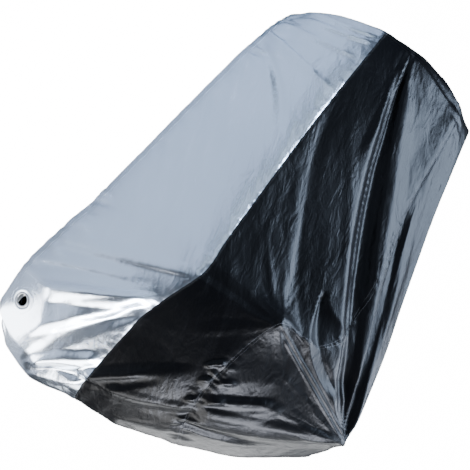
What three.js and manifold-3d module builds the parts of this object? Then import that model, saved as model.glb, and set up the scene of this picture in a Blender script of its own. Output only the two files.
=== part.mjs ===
import * as THREE from "three";
import { mergeVertices } from "three/addons/utils/BufferGeometryUtils.js";
import Module from "manifold-3d";

// A fitted motorcycle cover as it hangs when in use, hollow and open below.
// Millimetres. +X is the front, -Y the near side, +Z up.
const SHEET = 2;
const GAP = 0.3;

// Stations round half the cover, from the middle of the front to the middle of the tail,
// with the number of mesh columns between each station and the next.
const STATIONS = [
  { name: "nose", columns: 5 },
  { name: "brow", columns: 9 },
  { name: "cheek", columns: 8 },
  { name: "tip", columns: 4 },
  { name: "knee", columns: 4 },
  { name: "tank", columns: 6 },
  { name: "seat", columns: 6 },
  { name: "rear", columns: 8 },
  { name: "corner", columns: 4 },
  { name: "tail", columns: 0 },
];

// Mesh rows of each piece, from the ridge down.
const CROWN_ROWS = 7;
const BAND_ROWS = 11;
const SKIRT_ROWS = 8;
const DECK_ROWS = 4;

// The lines that shape the cover. Each row is a station: x along the cover, out from its middle, z up.
// The ridge is stretched from the high front point over the seat to the tail.
const RIDGE = [
  { at: "nose", x: 462, out: 0, z: 1338 },
  { at: "brow", x: 442, out: 180, z: 1356 },
  { at: "cheek", x: 432, out: 202, z: 1364 },
  { at: "tip", x: 406, out: 200, z: 1356 },
  { at: "knee", x: 305, out: 190, z: 1328 },
  { at: "tank", x: 105, out: 178, z: 1266 },
  { at: "seat", x: -220, out: 158, z: 1142 },
  { at: "rear", x: -530, out: 138, z: 1024 },
  { at: "corner", x: -905, out: 100, z: 902 },
  { at: "tail", x: -975, out: 0, z: 885 },
];

// The upper seam joins the crown to the side band. It passes over the end of the handlebar.
const UPPER_SEAM = [
  { at: "nose", x: 835, out: 0, z: 888 },
  { at: "brow", x: 795, out: 170, z: 862 },
  { at: "cheek", x: 605, out: 315, z: 828 },
  { at: "tip", x: 308, out: 392, z: 868 },
  { at: "knee", x: 253, out: 345, z: 1035 },
  { at: "tank", x: 120, out: 285, z: 1080 },
  { at: "seat", x: -203, out: 228, z: 1002 },
  { at: "rear", x: -513, out: 196, z: 910 },
  { at: "corner", x: -945, out: 150, z: 800 },
  { at: "tail", x: -1058, out: 0, z: 665 },
];

// The colour seam joins the black side band to the silver skirt.
const COLOUR_SEAM = [
  { at: "nose", x: 985, out: 0, z: 475 },
  { at: "brow", x: 950, out: 130, z: 472 },
  { at: "cheek", x: 665, out: 310, z: 470 },
  { at: "tip", x: 356, out: 400, z: 530 },
  { at: "knee", x: 217, out: 385, z: 507 },
  { at: "tank", x: 35, out: 370, z: 480 },
  { at: "seat", x: -235, out: 350, z: 442 },
  { at: "rear", x: -513, out: 312, z: 407 },
  { at: "corner", x: -965, out: 190, z: 358 },
  { at: "tail", x: -1035, out: 0, z: 352 },
];

// The girth is the fullest line of the skirt, where it starts to turn under.
const GIRTH = [
  { at: "nose", x: 1050, out: 0, z: 290 },
  { at: "brow", x: 1008, out: 140, z: 272 },
  { at: "cheek", x: 719, out: 305, z: 256 },
  { at: "tip", x: 376, out: 362, z: 280 },
  { at: "knee", x: 208, out: 352, z: 272 },
  { at: "tank", x: 27, out: 347, z: 247 },
  { at: "seat", x: -243, out: 332, z: 235 },
  { at: "rear", x: -509, out: 300, z: 200 },
  { at: "corner", x: -868, out: 185, z: 165 },
  { at: "tail", x: -950, out: 0, z: 180 },
];

// The hem is drawn in by its elastic and turned under at both ends.
const HEM = [
  { at: "nose", x: 955, out: 0, z: 62 },
  { at: "brow", x: 918, out: 135, z: 28 },
  { at: "cheek", x: 735, out: 262, z: 2 },
  { at: "tip", x: 384, out: 305, z: 20 },
  { at: "knee", x: 198, out: 310, z: 18 },
  { at: "tank", x: 17, out: 310, z: 14 },
  { at: "seat", x: -252, out: 305, z: 8 },
  { at: "rear", x: -487, out: 275, z: 2 },
  { at: "corner", x: -722, out: 172, z: 4 },
  { at: "tail", x: -775, out: 0, z: 26 },
];

// The far side hangs a little differently: its high point is lower and further forward,
// and its front corner stands further out.
const FAR_SHIFTS = {
  ridge: [
    { at: "brow", x: 50, out: 10, z: -42 },
    { at: "cheek", x: 50, out: 0, z: -42 },
    { at: "tip", x: 50, out: 0, z: -42 },
    { at: "knee", x: 25, out: 0, z: -22 },
  ],
  upperSeam: [
    { at: "brow", x: 30, out: 20, z: 12 },
    { at: "cheek", x: 20, out: 0, z: 0 },
  ],
};

// The deck between the two ridges sags in its middle.
const DECK_SAG = 22;

// Folds, drawn in side view as a line between from and to, both [x, z], whose middle bows upwards by bow.
// out is the height, or depth if below 0, above and below the half widths, taper the share of the width
// at the start, and rise and fall the shares of the length over which the fold grows and dies away.
const NEAR_FOLDS = [
  { name: "long dark trough", from: [420, 1350], to: [-975, 490], bow: -72, out: -26, above: 85, below: 40, taper: 0.12, rise: 0.12, fall: 0.06 },
  { name: "long crest", from: [425, 1362], to: [-980, 505], bow: 5, out: 20, above: 150, below: 80, taper: 0.12, rise: 0.3, fall: 0.05 },
  { name: "upper dark crease", from: [425, 1360], to: [-475, 920], bow: -30, out: -16, above: 45, below: 30, taper: 0.15, rise: 0.15, fall: 0.3 },
  { name: "broad fold behind the handlebar", from: [300, 868], to: [-470, 425], bow: 0, out: 22, above: 90, below: 60, taper: 0.15, rise: 0.08, fall: 0.5 },
  { name: "edge below the handlebar", from: [306, 868], to: [356, 530], bow: 0, out: 18, above: 50, below: 60, taper: 0.2, rise: 0.1, fall: 0.2 },
  { name: "edge to the handlebar", from: [415, 1350], to: [302, 872], bow: 0, out: 16, above: 45, below: 45, taper: 0.2, rise: 0.1, fall: 0.05 },
  { name: "brow crease", from: [447, 1330], to: [800, 866], bow: 0, out: -22, above: 40, below: 35, taper: 0.3, rise: 0.4, fall: 0.1 },
  { name: "front lower trough", from: [715, 640], to: [920, 472], bow: 0, out: -22, above: 55, below: 45, taper: 0.4, rise: 0.35, fall: 0.05 },
  { name: "front lower ridge", from: [600, 720], to: [880, 472], bow: 0, out: 18, above: 60, below: 60, taper: 0.4, rise: 0.25, fall: 0.05 },
  { name: "front lower edge", from: [780, 858], to: [950, 475], bow: 12, out: 16, above: 40, below: 50, taper: 0.3, rise: 0.15, fall: 0.05 },
  { name: "front lower crease", from: [815, 790], to: [980, 480], bow: 12, out: -16, above: 40, below: 40, taper: 0.4, rise: 0.2, fall: 0.05 },
  { name: "fold forward of the handlebar", from: [320, 860], to: [700, 475], bow: 20, out: 12, above: 60, below: 80, taper: 0.2, rise: 0.1, fall: 0.3 },
  { name: "cheek fold", from: [505, 1085], to: [735, 866], bow: -12, out: 14, above: 45, below: 60, taper: 0.4, rise: 0.25, fall: 0.15 },
  { name: "long low ridge", from: [360, 1240], to: [-975, 440], bow: -75, out: 12, above: 40, below: 110, taper: 0.3, rise: 0.12, fall: 0.3 },
  { name: "leaf fold", from: [320, 1200], to: [95, 915], bow: 10, out: 12, above: 40, below: 40, taper: 0.4, rise: 0.3, fall: 0.3 },
  { name: "trough behind the handlebar", from: [305, 850], to: [65, 585], bow: 0, out: -12, above: 60, below: 70, taper: 0.3, rise: 0.1, fall: 0.4 },
  { name: "front trough of the skirt", from: [560, 482], to: [1035, 252], bow: -22, out: -32, above: 85, below: 40, taper: 0.4, rise: 0.25, fall: 0.2 },
  { name: "first fold of the skirt", from: [425, 512], to: [622, 30], bow: 0, out: 16, above: 60, below: 60, taper: 0.4, rise: 0.15, fall: 0.05 },
  { name: "second fold of the skirt", from: [500, 450], to: [715, 30], bow: 0, out: 16, above: 45, below: 45, taper: 0.5, rise: 0.3, fall: 0.05 },
  { name: "front roll of the skirt", from: [600, 430], to: [800, 60], bow: 10, out: 18, above: 50, below: 50, taper: 0.5, rise: 0.3, fall: 0.2 },
  { name: "hollow above the eyelet", from: [620, 440], to: [850, 190], bow: 0, out: -18, above: 60, below: 50, taper: 0.4, rise: 0.3, fall: 0.2 },
  { name: "rear upright fold", from: [-588, 10], to: [-560, 300], bow: 0, out: 20, above: 60, below: 60, taper: 0.3, rise: 0.1, fall: 0.6 },
  { name: "rear slanting fold", from: [-553, 10], to: [-270, 412], bow: 0, out: 18, above: 60, below: 60, taper: 0.2, rise: 0.1, fall: 0.5 },
];

// The far side hangs with fewer and softer folds.
const FAR_FOLDS = [
  { name: "far long trough", from: [470, 1305], to: [-965, 520], bow: -60, out: -24, above: 85, below: 50, taper: 0.12, rise: 0.12, fall: 0.1 },
  { name: "far long crest", from: [470, 1315], to: [-965, 560], bow: 0, out: 18, above: 150, below: 80, taper: 0.12, rise: 0.3, fall: 0.1 },
  { name: "far upper crease", from: [470, 1312], to: [-640, 860], bow: -20, out: -12, above: 50, below: 40, taper: 0.15, rise: 0.15, fall: 0.3 },
  { name: "far edge to the handlebar", from: [460, 1305], to: [302, 872], bow: 0, out: 16, above: 50, below: 50, taper: 0.2, rise: 0.1, fall: 0.05 },
  { name: "far fold behind the handlebar", from: [300, 868], to: [-380, 430], bow: 10, out: 20, above: 90, below: 70, taper: 0.15, rise: 0.08, fall: 0.5 },
  { name: "far edge below the handlebar", from: [306, 868], to: [340, 525], bow: 0, out: 18, above: 60, below: 60, taper: 0.2, rise: 0.1, fall: 0.2 },
  { name: "far fold forward of the handlebar", from: [320, 860], to: [740, 470], bow: 20, out: 16, above: 60, below: 70, taper: 0.2, rise: 0.1, fall: 0.2 },
  { name: "far front trough", from: [700, 760], to: [930, 472], bow: 0, out: -20, above: 60, below: 50, taper: 0.4, rise: 0.25, fall: 0.05 },
  { name: "far front trough of the skirt", from: [520, 480], to: [1010, 250], bow: -20, out: -26, above: 80, below: 50, taper: 0.4, rise: 0.2, fall: 0.2 },
  { name: "far fold of the skirt", from: [380, 520], to: [600, 20], bow: 0, out: 16, above: 70, below: 70, taper: 0.4, rise: 0.15, fall: 0.05 },
  { name: "far rear fold", from: [-500, 20], to: [-360, 410], bow: 0, out: 18, above: 60, below: 60, taper: 0.3, rise: 0.1, fall: 0.6 },
];

// Places where the cloth stands out over what it covers: the handlebar ends, sharp, and the front, broad.
const PUSHES = [
  { name: "handlebar end", side: "both", x: 308, z: 868, out: 30, reach: 150, power: 2 },
  { name: "screen", side: "both", x: 720, z: 1080, out: 12, reach: 330, power: 1.2 },
  { name: "far front corner", side: "far", x: 690, z: 1110, out: 32, reach: 330, power: 1 },
  { name: "front", side: "both", x: 930, z: 650, out: 32, reach: 280, power: 1.2 },
  { name: "front of the hem", side: "both", x: 1010, z: 140, out: 34, reach: 190, power: 1.2 },
  { name: "tail", side: "both", x: -1060, z: 540, out: 26, reach: 240, power: 1.2 },
  { name: "under the tail", side: "both", x: -840, z: 90, out: 20, reach: 240, power: 1.2 },
];

// Eyelet in the front of the skirt: a metal ring in a round doubled patch.
const EYELET = {
  x: 880,
  z: 92,
  hole: 21.5,
  barrel: 23,
  flange: 32,
  flangeThickness: 1.2,
  bevel: 1.2,
  ringSides: 28,
  patch: 54,
  patchThickness: 2.6,
  patchSides: 36,
  windowDepth: 25,
  flat: 92,
  fade: 150,
};

const BLACK = { color: 0x15171b, roughness: 0.42, metalness: 0.0 };
const SILVER = { color: 0xaab2bf, roughness: 0.4, metalness: 0.25 };
const METAL = { color: 0xb9bcc0, roughness: 0.3, metalness: 0.9 };

const HALF = STATIONS.length - 1;
const ROUND = 2 * HALF;

const clamp = (value, low, high) => Math.min(high, Math.max(low, value));

function smooth(low, high, value) {
  const t = clamp((value - low) / (high - low), 0, 1);
  return t * t * (3 - 2 * t);
}

// The far half of a line is the near half mirrored, with its own shifts.
function closedLine(rows, shifts = []) {
  const near = rows.map((row) => new THREE.Vector3(row.x, -row.out, row.z));
  const far = rows.slice(1, -1).reverse().map((row) => {
    const shift = shifts.find((one) => one.at === row.at) ?? { x: 0, out: 0, z: 0 };
    return new THREE.Vector3(row.x + shift.x, row.out + shift.out, row.z + shift.z);
  });
  return [...near, ...far];
}

// A smooth closed line through its stations that never overshoots them.
function lineThrough(points) {
  const count = points.length;
  const slopeAt = (axis, i) => {
    const before = points[i][axis] - points[(i + count - 1) % count][axis];
    const after = points[(i + 1) % count][axis] - points[i][axis];
    return before * after <= 0 ? 0 : (2 * before * after) / (before + after);
  };
  return (u) => {
    const wrapped = ((u % count) + count) % count;
    const i = Math.floor(wrapped);
    const t = wrapped - i;
    const j = (i + 1) % count;
    const result = new THREE.Vector3();
    for (const axis of ["x", "y", "z"]) {
      const a = points[i][axis];
      const b = points[j][axis];
      const m0 = slopeAt(axis, i);
      const m1 = slopeAt(axis, j);
      const t2 = t * t;
      const t3 = t2 * t;
      result[axis] = a * (2 * t3 - 3 * t2 + 1) + m0 * (t3 - 2 * t2 + t) + b * (3 * t2 - 2 * t3) + m1 * (t3 - t2);
    }
    return result;
  };
}

const LINES = [
  lineThrough(closedLine(RIDGE, FAR_SHIFTS.ridge)),
  lineThrough(closedLine(UPPER_SEAM, FAR_SHIFTS.upperSeam)),
  lineThrough(closedLine(COLOUR_SEAM)),
  lineThrough(closedLine(GIRTH)),
  lineThrough(closedLine(HEM)),
];

// How far the cloth between two lines rounds out of the straight, by the line above.
const ROUNDING = [0.15, 0.45, 0.8, 0.8];

// The stretched cloth without its folds. v is 0 on the ridge, 1 and 2 on the seams, 3 on the girth, 4 on the hem.
function basePoint(u, v) {
  const i = clamp(Math.floor(v), 0, LINES.length - 2);
  const t = v - i;
  const points = LINES.map((line) => line(u));
  const a = points[i];
  const b = points[i + 1];
  const before = points[Math.max(i - 1, 0)];
  const after = points[Math.min(i + 2, LINES.length - 1)];
  const straight = a.clone().lerp(b, t);
  const span = a.distanceTo(b);
  const slopeIn = b.clone().sub(before).multiplyScalar(span / Math.max(b.distanceTo(a) + a.distanceTo(before), 1));
  const slopeOut = after.clone().sub(a).multiplyScalar(span / Math.max(after.distanceTo(b) + b.distanceTo(a), 1));
  const t2 = t * t;
  const t3 = t2 * t;
  const curved = a.clone().multiplyScalar(2 * t3 - 3 * t2 + 1);
  curved.addScaledVector(slopeIn, t3 - 2 * t2 + t);
  curved.addScaledVector(b, 3 * t2 - 2 * t3);
  curved.addScaledVector(slopeOut, t3 - t2);
  return straight.lerp(curved, ROUNDING[i]);
}

function baseNormal(u, v) {
  const step = 0.02;
  const along = basePoint(u + step, v).sub(basePoint(u - step, v));
  const low = Math.max(v - step, 0);
  const high = Math.min(v + step, LINES.length - 1);
  const down = basePoint(u, high).sub(basePoint(u, low));
  return along.cross(down).normalize();
}

// Where a point of the side view lies along a fold's line, as a share of it, and across the line.
function placeOnFold(fold, x, z) {
  const dx = fold.to[0] - fold.from[0];
  const dz = fold.to[1] - fold.from[1];
  const length = Math.hypot(dx, dz);
  const along = ((x - fold.from[0]) * dx + (z - fold.from[1]) * dz) / (length * length);
  const side = Math.sign(dx) || 1;
  const chord = (side * ((z - fold.from[1]) * dx - (x - fold.from[0]) * dz)) / length;
  return { along, across: chord - fold.bow * 4 * along * (1 - along) };
}

function foldHeight(fold, x, z) {
  const { along, across } = placeOnFold(fold, x, z);
  if (along < -0.05 || along > 1.05) {
    return 0;
  }
  const widen = fold.taper + (1 - fold.taper) * Math.sqrt(clamp(along, 0, 1));
  const width = (across > 0 ? fold.above : fold.below) * widen;
  const share = 1 - Math.abs(across) / width;
  if (share <= 0) {
    return 0;
  }
  const ends = smooth(-0.05, fold.rise, along) * (1 - smooth(1 - fold.fall, 1.05, along));
  return fold.out * ends * share * (1.6 - 0.6 * share);
}

function reliefAt(point) {
  const folds = point.y < 0 ? NEAR_FOLDS : FAR_FOLDS;
  let height = 0;
  for (const fold of folds) {
    height += foldHeight(fold, point.x, point.z);
  }
  height *= smooth(20, 120, Math.abs(point.y));
  for (const push of PUSHES) {
    const share = 1 - Math.hypot(point.x - push.x, point.z - push.z) / push.reach;
    if (share > 0) {
      const sideShare = push.side === "far" ? smooth(-40, 120, point.y) : 1;
      height += push.out * sideShare * share ** push.power;
    }
  }
  return height;
}

function clothPoint(u, v) {
  const base = basePoint(u, v);
  return base.addScaledVector(baseNormal(u, v), reliefAt(base));
}

// Columns run round the cover and rows run down it. The far half mirrors the near half's columns.
function columnStations() {
  const near = [];
  STATIONS.forEach((station, i) => {
    for (let k = 0; k < station.columns; k += 1) {
      near.push(i + k / station.columns);
    }
  });
  const far = near.map((u) => ROUND - u).filter((u) => u < ROUND).reverse();
  return [...near, HALF, ...far];
}

const COLUMNS = columnStations();

// The rows run evenly from line to line, in the pieces' own numbers.
function rowLevels() {
  const levels = [0];
  for (const [first, last, rows] of [[0, 1, CROWN_ROWS], [1, 2, BAND_ROWS], [2, 4, SKIRT_ROWS]]) {
    for (let k = 1; k <= rows; k += 1) {
      levels.push(first + ((last - first) * k) / rows);
    }
  }
  return levels;
}

const LEVELS = rowLevels();
const UPPER_ROW = CROWN_ROWS;
const COLOUR_ROW = CROWN_ROWS + BAND_ROWS;
const FIXED_ROWS = [0, UPPER_ROW, COLOUR_ROW, LEVELS.length - 1];

// Places where a fold's line crosses the grid, the smallest moves first. A line crosses an edge between
// grid points a and b, and share is how far along the edge from a to b.
function crossings(fold, grid, from, to) {
  const found = [];
  const tryEdge = (a, b, uB) => {
    const onA = placeOnFold(fold, a.base.x, a.base.z);
    const onB = placeOnFold(fold, b.base.x, b.base.z);
    if (onA.across * onB.across > 0 || onA.across === onB.across) {
      return;
    }
    const share = onA.across / (onA.across - onB.across);
    const along = onA.along + share * (onB.along - onA.along);
    if (along >= 0 && along <= 1) {
      const place = { u: a.u + share * (uB - a.u), v: a.v + share * (b.v - a.v) };
      const length = a.base.distanceTo(b.base);
      found.push({ first: share < 0.5 ? a : b, other: share < 0.5 ? b : a, place, move: Math.min(share, 1 - share) * length });
    }
  };
  for (let column = from; column < to; column += 1) {
    const next = (column + 1) % COLUMNS.length;
    for (let row = 0; row < LEVELS.length; row += 1) {
      tryEdge(grid[row][column], grid[row][next], next === 0 ? ROUND : grid[row][next].u);
      if (row + 1 < LEVELS.length) {
        tryEdge(grid[row][column], grid[row + 1][column], grid[row][column].u);
      }
    }
  }
  return found.sort((a, b) => a.move - b.move);
}

// Grid points move along their row or column onto the folds' lines, so that mesh edges follow the folds.
// A point on a seam, the ridge or the hem stays on it, a point serves one fold, and none comes near another.
function snappedGrid() {
  const count = COLUMNS.length;
  const middles = [0, COLUMNS.indexOf(HALF)];
  const grid = LEVELS.map((v, row) => COLUMNS.map((u, column) => {
    const base = basePoint(u, v);
    return { u, v, row, column, base, fold: null, to: { u, v, base } };
  }));
  const crowded = ({ row, column, base }, moved) => {
    const others = [grid[row - 1]?.[column], grid[row + 1]?.[column]];
    others.push(grid[row][(column + 1) % count], grid[row][(column + count - 1) % count]);
    return others.some((other) => other && moved.distanceTo(other.to.base) < 0.3 * base.distanceTo(other.base));
  };
  const take = (point, fold, place) => {
    const fixed = place.v === point.v ? middles.includes(point.column) : FIXED_ROWS.includes(point.row);
    const moved = basePoint(place.u, place.v);
    if (point.fold !== null || fixed || crowded(point, moved)) {
      return false;
    }
    point.fold = fold.name;
    point.to = { ...place, base: moved };
    return true;
  };
  for (const [folds, from, to] of [[NEAR_FOLDS, 0, middles[1]], [FAR_FOLDS, middles[1], count]]) {
    for (const fold of folds) {
      for (const { first, other, place } of crossings(fold, grid, from, to)) {
        const served = first.fold === fold.name || other.fold === fold.name;
        if (!served && !take(first, fold, place)) {
          take(other, fold, place);
        }
      }
    }
  }
  for (const point of grid.flat()) {
    point.u = point.to.u;
    point.v = point.to.v;
  }
  return grid;
}

const GRID = snappedGrid();

const COUNT = COLUMNS.length;
const MIDDLE = COLUMNS.indexOf(HALF);
const LAST_ROW = LEVELS.length - 1;
const points = GRID.flat().map(({ u, v }) => clothPoint(u, v));

// Each eyelet's place on the skirt and the way it faces.
function eyeletPlane(side) {
  const place = (u, v) => clothPoint(side < 0 ? u : ROUND - u, v);
  let best = { away: Infinity };
  for (let u = 0.3; u < 2.5; u += 0.02) {
    for (let v = 2.6; v < 3.95; v += 0.02) {
      const point = place(u, v);
      const away = Math.hypot(point.x - EYELET.x, point.z - EYELET.z);
      if (away < best.away) {
        best = { away, point, u, v };
      }
    }
  }
  const reach = 0.3;
  const along = place(best.u + reach, best.v).sub(place(best.u - reach, best.v));
  const down = place(best.u, best.v + reach).sub(place(best.u, best.v - reach));
  const normal = along.cross(down).normalize();
  return { centre: best.point, normal: normal.multiplyScalar(Math.sign(normal.y * side)) };
}

const EYELETS = [
  { name: "near", ...eyeletPlane(-1) },
  { name: "far", ...eyeletPlane(1) },
];

// The skirt lies flat around each eyelet.
for (const point of points.slice(COLOUR_ROW * COUNT + COUNT)) {
  for (const eyelet of EYELETS) {
    const offset = point.clone().sub(eyelet.centre);
    const height = offset.dot(eyelet.normal);
    const away = offset.addScaledVector(eyelet.normal, -height).length();
    if (Math.abs(height) < EYELET.fade) {
      point.addScaledVector(eyelet.normal, -height * (1 - smooth(EYELET.flat, EYELET.fade, away)));
    }
  }
}

// The deck bridges the ridges, near column by far column. It sags in its middle.
const deckNumbers = [];
for (let column = 0; column <= MIDDLE; column += 1) {
  const mirror = (COUNT - column) % COUNT;
  const numbers = [column];
  for (let k = 1; k < DECK_ROWS && mirror !== column; k += 1) {
    const share = k / DECK_ROWS;
    const point = points[column].clone().lerp(points[mirror], share);
    point.z -= DECK_SAG * 4 * share * (1 - share) * smooth(0, 120, points[column].distanceTo(points[mirror]));
    numbers.push(points.length);
    points.push(point);
  }
  numbers.push(mirror);
  deckNumbers.push(numbers);
}

function foldAt(number) {
  return number < COUNT * LEVELS.length ? GRID[Math.floor(number / COUNT)][number % COUNT].fold : null;
}

// A cell is split along a fold's line where one crosses it from corner to corner, and else along its
// shorter diagonal.
function splitCell(a, b, c, d) {
  const alongFirst = foldAt(a) !== null && foldAt(a) === foldAt(c);
  const alongSecond = foldAt(b) !== null && foldAt(b) === foldAt(d);
  const shorter = points[a].distanceTo(points[c]) <= points[b].distanceTo(points[d]);
  const first = alongFirst === alongSecond ? shorter : alongFirst;
  return first ? [[a, b, c], [a, c, d]] : [[a, b, d], [b, c, d]];
}

function deckFaces() {
  const faces = [];
  for (let column = 0; column < MIDDLE; column += 1) {
    const one = deckNumbers[column];
    const two = deckNumbers[column + 1];
    for (let k = 0; k < DECK_ROWS; k += 1) {
      if (one.length === 2) {
        faces.push([one[0], two[k], two[k + 1]]);
      } else if (two.length === 2) {
        faces.push([one[k], two[0], one[k + 1]]);
      } else {
        faces.push(...splitCell(one[k], two[k], two[k + 1], one[k + 1]));
      }
    }
  }
  return faces;
}

function facesBetween(firstRow, lastRow) {
  const faces = [];
  for (let row = firstRow; row < lastRow; row += 1) {
    for (let column = 0; column < COUNT; column += 1) {
      const next = (column + 1) % COUNT;
      const above = row * COUNT;
      const below = above + COUNT;
      faces.push(...splitCell(above + column, below + column, below + next, above + next));
    }
  }
  return faces;
}

const crownFaces = [...deckFaces(), ...facesBetween(0, UPPER_ROW)];
const bandFaces = facesBetween(UPPER_ROW, COLOUR_ROW);
const skirtFaces = facesBetween(COLOUR_ROW, LAST_ROW);

// The way each point faces is the mean of the faces round it, over all the pieces.
function vertexNormals() {
  const normals = points.map(() => new THREE.Vector3());
  for (const [a, b, c] of [...crownFaces, ...bandFaces, ...skirtFaces]) {
    const face = points[b].clone().sub(points[a]).cross(points[c].clone().sub(points[a]));
    normals[a].add(face);
    normals[b].add(face);
    normals[c].add(face);
  }
  return normals.map((normal) => normal.normalize());
}

const normals = vertexNormals();

// On a seam each piece stops half a gap short, square to the seam's line.
function atSeam(number, seamRow, way) {
  const column = number % COUNT;
  const before = points[seamRow * COUNT + ((column + COUNT - 1) % COUNT)];
  const after = points[seamRow * COUNT + ((column + 1) % COUNT)];
  const square = after.clone().sub(before).cross(normals[number]).normalize();
  const below = points[number + COUNT].clone().sub(points[number - COUNT]);
  return points[number].clone().addScaledVector(square, way * Math.sign(square.dot(below)) * (GAP / 2));
}

function piecePoint(number, topRow, bottomRow) {
  const row = number < COUNT * LEVELS.length ? Math.floor(number / COUNT) : -1;
  if (row > 0 && row === topRow) {
    return atSeam(number, row, 1);
  }
  if (row < LAST_ROW && row === bottomRow) {
    return atSeam(number, row, -1);
  }
  return points[number];
}

// One sheet, thickened inwards. Two edges that meet at a seam are split alike, always from the outer
// corner with the lower number.
function thickSheet(faces, topRow, bottomRow) {
  const numbers = [...new Set(faces.flat())].sort((a, b) => a - b);
  const place = new Map(numbers.map((number, i) => [number, i]));
  const count = numbers.length;
  const outer = numbers.map((number) => piecePoint(number, topRow, bottomRow));
  const inner = outer.map((point, i) => point.clone().addScaledVector(normals[numbers[i]], -SHEET));
  const index = [];
  const edges = new Map();
  for (const face of faces) {
    const [a, b, c] = face.map((number) => place.get(number));
    index.push(a, b, c, count + a, count + c, count + b);
    for (const [from, to] of [[a, b], [b, c], [c, a]]) {
      if (!edges.delete(`${to}_${from}`)) {
        edges.set(`${from}_${to}`, [from, to]);
      }
    }
  }
  for (const [from, to] of edges.values()) {
    if (from < to) {
      index.push(to, from, count + to, from, count + from, count + to);
    } else {
      index.push(to, from, count + from, to, count + from, count + to);
    }
  }
  const geometry = new THREE.BufferGeometry();
  geometry.setFromPoints([...outer, ...inner]);
  geometry.setIndex(index);
  return geometry;
}

const wasm = await Module();
wasm.setup();

function toSolid(geometry) {
  const bare = geometry.clone();
  bare.deleteAttribute("normal");
  bare.deleteAttribute("uv");
  const merged = mergeVertices(bare, 0.0001);
  return new wasm.Manifold(new wasm.Mesh({
    numProp: 3,
    vertProperties: new Float32Array(merged.attributes.position.array),
    triVerts: new Uint32Array(merged.index.array),
  }));
}

function toGeometry(solid) {
  const mesh = solid.getMesh();
  const geometry = new THREE.BufferGeometry();
  geometry.setAttribute("position", new THREE.BufferAttribute(new Float32Array(mesh.vertProperties), 3));
  geometry.setIndex(new THREE.BufferAttribute(new Uint32Array(mesh.triVerts), 1));
  return geometry;
}

// A round piece about an eyelet's axis, from a profile of [radius, height] that closes on itself or
// starts and ends on the axis. Height 0 is the middle of the skirt's sheet.
function turned(profile, segments, eyelet) {
  const outline = profile.map(([radius, height]) => new THREE.Vector2(radius, height));
  const geometry = new THREE.LatheGeometry(outline, segments);
  geometry.applyQuaternion(new THREE.Quaternion().setFromUnitVectors(new THREE.Vector3(0, 1, 0), eyelet.normal));
  const middle = eyelet.centre.clone().addScaledVector(eyelet.normal, -SHEET / 2);
  return geometry.translate(middle.x, middle.y, middle.z);
}

// The ring's two flanges hold the patch between them.
function ringGeometry(eyelet) {
  const { hole, barrel, flange, flangeThickness, patchThickness, bevel } = EYELET;
  const inside = patchThickness / 2 + GAP;
  const face = inside + flangeThickness;
  const profile = [
    [hole, -face],
    [flange, -face],
    [flange, -inside],
    [barrel, -inside],
    [barrel, inside],
    [flange, inside],
    [flange - bevel, face],
    [hole + bevel, face],
    [hole, inside],
    [hole, -face],
  ];
  return turned(profile, EYELET.ringSides, eyelet);
}

function patchGeometry(eyelet) {
  const half = EYELET.patchThickness / 2;
  const profile = [
    [EYELET.barrel + GAP, -half],
    [EYELET.patch, -half],
    [EYELET.patch, half],
    [EYELET.barrel + GAP, half],
    [EYELET.barrel + GAP, -half],
  ];
  return turned(profile, EYELET.patchSides, eyelet);
}

// The round window in the skirt that the patch fills.
function windowSolid(eyelet) {
  const { patch, windowDepth } = EYELET;
  const profile = [
    [0, -windowDepth],
    [patch + GAP, -windowDepth],
    [patch + GAP, windowDepth],
    [0, windowDepth],
  ];
  return toSolid(turned(profile, EYELET.patchSides, eyelet));
}

function skirtGeometry() {
  let solid = toSolid(thickSheet(skirtFaces, COLOUR_ROW, LAST_ROW));
  for (const eyelet of EYELETS) {
    solid = solid.subtract(windowSolid(eyelet));
  }
  return toGeometry(solid);
}

function meshOf(name, geometry, finish) {
  geometry.computeVertexNormals();
  const mesh = new THREE.Mesh(geometry, new THREE.MeshStandardMaterial(finish));
  mesh.name = name;
  return mesh;
}

const cover = new THREE.Group();
cover.add(meshOf("crown", thickSheet(crownFaces, 0, UPPER_ROW), BLACK));
cover.add(meshOf("side_band", thickSheet(bandFaces, UPPER_ROW, COLOUR_ROW), BLACK));
cover.add(meshOf("skirt", skirtGeometry(), SILVER));
for (const eyelet of EYELETS) {
  cover.add(meshOf(`eyelet_patch_${eyelet.name}`, patchGeometry(eyelet), SILVER));
  cover.add(meshOf(`eyelet_ring_${eyelet.name}`, ringGeometry(eyelet), METAL));
}

// The origin goes under the middle of the box round all the pieces.
const box = new THREE.Box3().setFromObject(cover);
const middle = box.getCenter(new THREE.Vector3());
for (const mesh of cover.children) {
  mesh.geometry.translate(-middle.x, -middle.y, -box.min.z);
}

export default cover;
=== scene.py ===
"""A fitted motorcycle cover: two black pieces and a silver skirt, sewn round a part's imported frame."""

import math
from functools import partial

import bmesh
import bpy
import numpy as np
from mathutils import Matrix, Vector


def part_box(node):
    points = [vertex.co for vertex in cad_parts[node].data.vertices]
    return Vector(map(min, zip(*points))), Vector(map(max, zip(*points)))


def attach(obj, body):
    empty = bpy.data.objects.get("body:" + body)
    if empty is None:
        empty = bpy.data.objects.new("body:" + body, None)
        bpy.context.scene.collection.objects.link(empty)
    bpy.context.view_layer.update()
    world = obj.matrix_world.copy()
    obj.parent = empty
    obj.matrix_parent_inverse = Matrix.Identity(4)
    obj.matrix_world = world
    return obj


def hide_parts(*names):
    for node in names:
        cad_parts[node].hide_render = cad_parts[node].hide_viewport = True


bl_info = {
    "name": "Motorcycle cover",
    "version": (1, 0, 0),
    "blender": (4, 5, 0),
    "location": "View3D > Sidebar > Cover",
    "description": "Builds the cloth, seams and eyelets of a fitted motorcycle cover round its frame",
    "category": "Object",
}

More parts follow.
